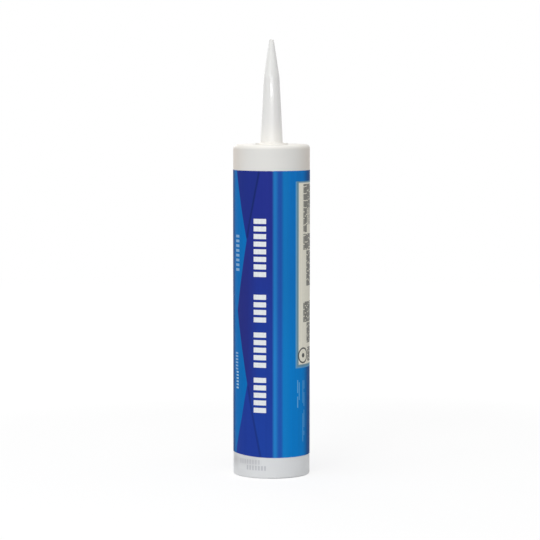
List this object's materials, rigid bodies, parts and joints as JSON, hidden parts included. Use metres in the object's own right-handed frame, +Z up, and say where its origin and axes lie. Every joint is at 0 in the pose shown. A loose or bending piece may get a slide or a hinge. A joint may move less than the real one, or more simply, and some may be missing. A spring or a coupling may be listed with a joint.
{
  "type": "caulk tube",
  "caption": "Sealant cartridge with an integral closed nozzle, a wrapped film label, an open rear end and a sliding ribbed plunger.",
  "frame": {"origin": "centre of the rear rim, on the surface that the cartridge stands on", "axes": "+Z up the axis to the nozzle tip, -Y the side of the film that faces the viewer, +Y the lap of the film"},
  "size_m": [0.0502, 0.0503, 0.284],
  "materials": {
    "white_plastic": "satin, slightly translucent white polyethylene",
    "printed_film": "semi-gloss printed film in blue fields",
    "plunger_plastic": "satin, natural white polyethylene",
    "foil": "bright rolled foil",
    "sealant": "smooth paste"
  },
  "bodies": {
    "cartridge": {"cartridge": "white_plastic", "label": "printed_film", "inner_seal": "foil", "sealant": "sealant"},
    "plunger": {"plunger": "plunger_plastic"}
  },
  "joints": [
    {"name": "plunger_slide", "type": "slide", "parent": "cartridge", "child": "plunger", "axis": [0, 0, 1], "range_m": [0, 0.1755], "deforming": ["sealant"]}
  ]
}
